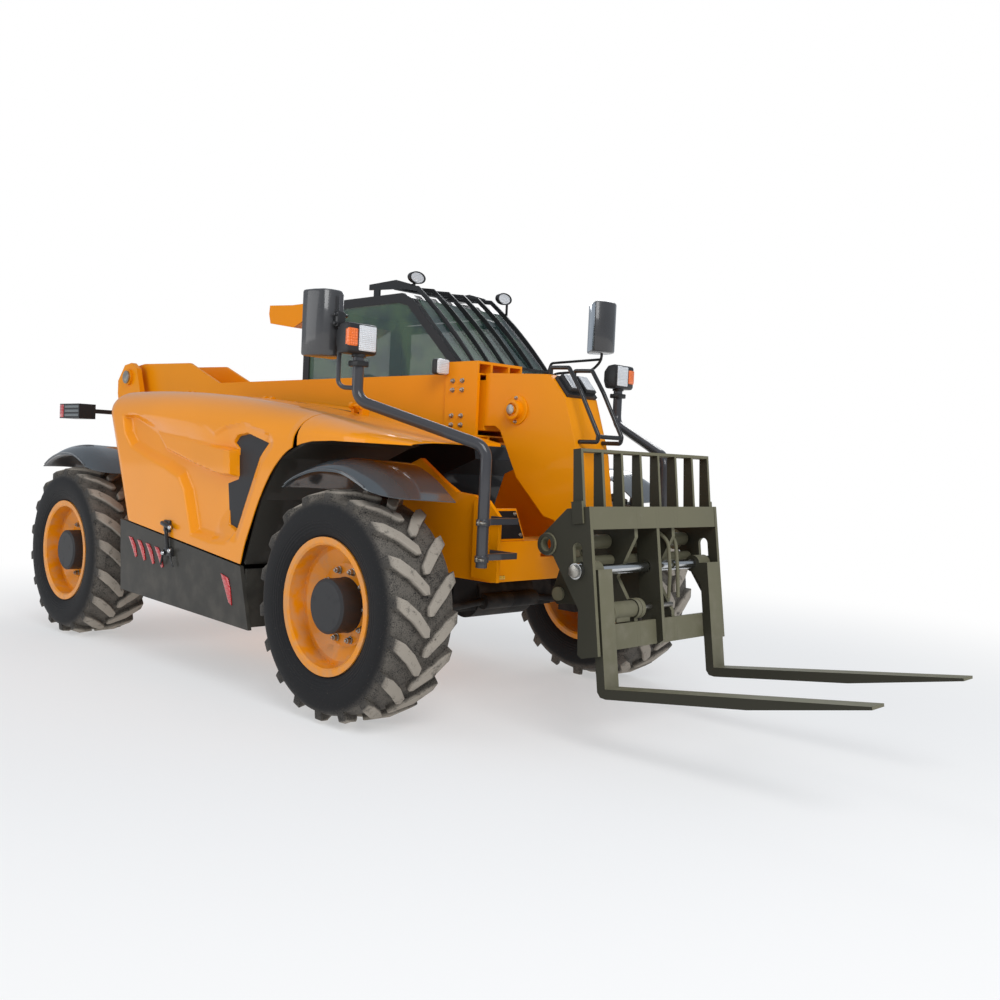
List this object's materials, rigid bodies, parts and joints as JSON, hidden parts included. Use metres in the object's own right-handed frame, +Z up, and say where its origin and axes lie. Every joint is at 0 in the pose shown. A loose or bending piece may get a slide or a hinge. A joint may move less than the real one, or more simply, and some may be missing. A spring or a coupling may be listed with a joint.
{
  "type": "telehandler",
  "caption": "Wheeled handler with a side engine pod, a cab beside a telescopic boom, and a tilting fork carriage; all wheels steer.",
  "frame": {"origin": "on the ground, half way along and half way across the machine", "axes": "+X forward, +Y to the machine's left, +Z up"},
  "size_m": [6.4607, 2.326, 2.4848],
  "materials": {
    "yellow_paint": "gloss",
    "steel": "satin",
    "axle_iron": "satin",
    "hood_shell": "gloss",
    "black_plastic": "matt",
    "dark_paint": "satin",
    "engine_iron": "matt",
    "glass": "gloss",
    "cap_shell": "gloss",
    "black_paint": "satin",
    "seat_fabric": "woven",
    "fender_plastic": "gloss",
    "lamp_glass": "gloss",
    "beacon_lens": "gloss",
    "chrome": "mirror",
    "carriage_paint": "satin",
    "tyre": "matt",
    "rim_paint": "gloss"
  },
  "bodies": {
    "chassis": {"main_frame": "yellow_paint", "frame_rails": "yellow_paint", "boom_tower": "yellow_paint", "boom_pin": "steel", "front_axle": "axle_iron", "rear_axle": "axle_iron", "front_wing": "hood_shell", "hood_deck": "yellow_paint", "arch_liner": "black_plastic", "side_skirt": "dark_paint", "engine_block": "engine_iron", "cab_frame": "dark_paint", "cab_glass": "glass", "cab_roof": "dark_paint", "roof_cap": "cap_shell", "roof_guard": "black_paint", "seat": "seat_fabric", "console": "black_plastic", "side_tank": "dark_paint", "front_fenders": "fender_plastic", "rear_fenders": "fender_plastic", "lamp_tubes": "black_paint", "mirrors": "black_plastic", "lamps": "lamp_glass", "beacon": "beacon_lens", "rear_lamps": "black_plastic"},
    "hood": {"hood": "hood_shell"},
    "door": {"door_frame": "dark_paint", "door_glass": "glass"},
    "boom": {"outer_boom": "yellow_paint"},
    "inner_boom": {"inner_boom": "yellow_paint", "boom_head": "yellow_paint", "head_lamps": "black_plastic", "head_guard": "black_paint"},
    "lift_barrel": {"lift_barrel": "dark_paint"},
    "lift_rod": {"lift_rod": "chrome"},
    "tilt_barrel": {"tilt_barrel": "dark_paint"},
    "tilt_rod": {"tilt_rod": "chrome"},
    "carriage": {"carriage_frame": "carriage_paint", "load_guard": "black_paint", "forks": "carriage_paint", "fork_shaft": "chrome"},
    "front_right_knuckle": {"front_right_knuckle": "axle_iron"},
    "front_right_wheel": {"front_right_rim": "rim_paint", "front_right_tyre": "tyre"},
    "front_left_knuckle": {"front_left_knuckle": "axle_iron"},
    "front_left_wheel": {"front_left_rim": "rim_paint", "front_left_tyre": "tyre"},
    "rear_right_knuckle": {"rear_right_knuckle": "axle_iron"},
    "rear_right_wheel": {"rear_right_rim": "rim_paint", "rear_right_tyre": "tyre"},
    "rear_left_knuckle": {"rear_left_knuckle": "axle_iron"},
    "rear_left_wheel": {"rear_left_rim": "rim_paint", "rear_left_tyre": "tyre"}
  },
  "joints": [
    {"name": "boom_lift", "type": "hinge", "parent": "chassis", "child": "boom", "pos_m": [-3.03954, 0, 1.812], "axis": [0, -1, 0], "range_deg": [-1.5, 62]},
    {"name": "boom_extend", "type": "slide", "parent": "boom", "child": "inner_boom", "axis": [1, 0, 0], "range_m": [0, 2.6]},
    {"name": "lift_barrel_swing", "type": "hinge", "parent": "chassis", "child": "lift_barrel", "pos_m": [-2.65955, 0, 1], "axis": [0, -1, 0], "range_deg": [-1.33, 55.13]},
    {"name": "lift_rod_slide", "type": "slide", "parent": "lift_barrel", "child": "lift_rod", "axis": [0.9792, 0, 0.2028], "range_m": [-0.02171, 0.89745]},
    {"name": "carriage_tilt", "type": "hinge", "parent": "inner_boom", "child": "carriage", "pos_m": [1.56045, 0, 0.84], "axis": [0, 1, 0], "range_deg": [-12, 88]},
    {"name": "tilt_barrel_swing", "type": "hinge", "parent": "inner_boom", "child": "tilt_barrel", "pos_m": [1.08546, 0, 1.554], "axis": [0, 1, 0], "range_deg": [-0.78154, 0.10658]},
    {"name": "tilt_rod_slide", "type": "slide", "parent": "tilt_barrel", "child": "tilt_rod", "axis": [0.386, 0, -0.9225], "range_m": [-0.30512, 0.04161]},
    {"name": "front_left_steer", "type": "hinge", "parent": "chassis", "child": "front_left_knuckle", "pos_m": [0.84045, 0.78, 0.56], "axis": [0, 0, 1], "range_deg": [-35, 35]},
    {"name": "front_left_spin", "type": "hinge", "parent": "front_left_knuckle", "child": "front_left_wheel", "pos_m": [0.84045, 0.95, 0.56], "axis": [0, 1, 0], "continuous": true},
    {"name": "front_right_steer", "type": "hinge", "parent": "chassis", "child": "front_right_knuckle", "pos_m": [0.84045, -0.78, 0.56], "axis": [0, 0, 1], "range_deg": [-35, 35]},
    {"name": "front_right_spin", "type": "hinge", "parent": "front_right_knuckle", "child": "front_right_wheel", "pos_m": [0.84045, -0.95, 0.56], "axis": [0, 1, 0], "continuous": true},
    {"name": "rear_left_steer", "type": "hinge", "parent": "chassis", "child": "rear_left_knuckle", "pos_m": [-2.06955, 0.78, 0.56], "axis": [0, 0, -1], "range_deg": [-35, 35]},
    {"name": "rear_left_spin", "type": "hinge", "parent": "rear_left_knuckle", "child": "rear_left_wheel", "pos_m": [-2.06955, 0.95, 0.56], "axis": [0, 1, 0], "continuous": true},
    {"name": "rear_right_steer", "type": "hinge", "parent": "chassis", "child": "rear_right_knuckle", "pos_m": [-2.06955, -0.78, 0.56], "axis": [0, 0, -1], "range_deg": [-35, 35]},
    {"name": "rear_right_spin", "type": "hinge", "parent": "rear_right_knuckle", "child": "rear_right_wheel", "pos_m": [-2.06955, -0.95, 0.56], "axis": [0, 1, 0], "continuous": true},
    {"name": "hood_lid", "type": "hinge", "parent": "chassis", "child": "hood", "pos_m": [-1.55954, -0.66, 1.64], "axis": [-0.9988, 0, 0.0497], "range_deg": [0, 60]},
    {"name": "cab_door", "type": "hinge", "parent": "chassis", "child": "door", "pos_m": [-1.26954, 1.103, 0.85], "axis": [0, 0, 1], "range_deg": [0, 85]}
  ],
  "couplings": [
    {"joint": "lift_barrel_swing", "follows": "boom_lift", "ratio": 0.88868},
    {"joint": "lift_rod_slide", "follows": "boom_lift", "m_per_rad": 0.82894},
    {"joint": "tilt_barrel_swing", "follows": "carriage_tilt", "ratio": -0.008877},
    {"joint": "tilt_rod_slide", "follows": "carriage_tilt", "m_per_rad": -0.19856},
    {"joint": "front_right_steer", "follows": "front_left_steer", "ratio": 1},
    {"joint": "rear_right_steer", "follows": "rear_left_steer", "ratio": 1}
  ]
}
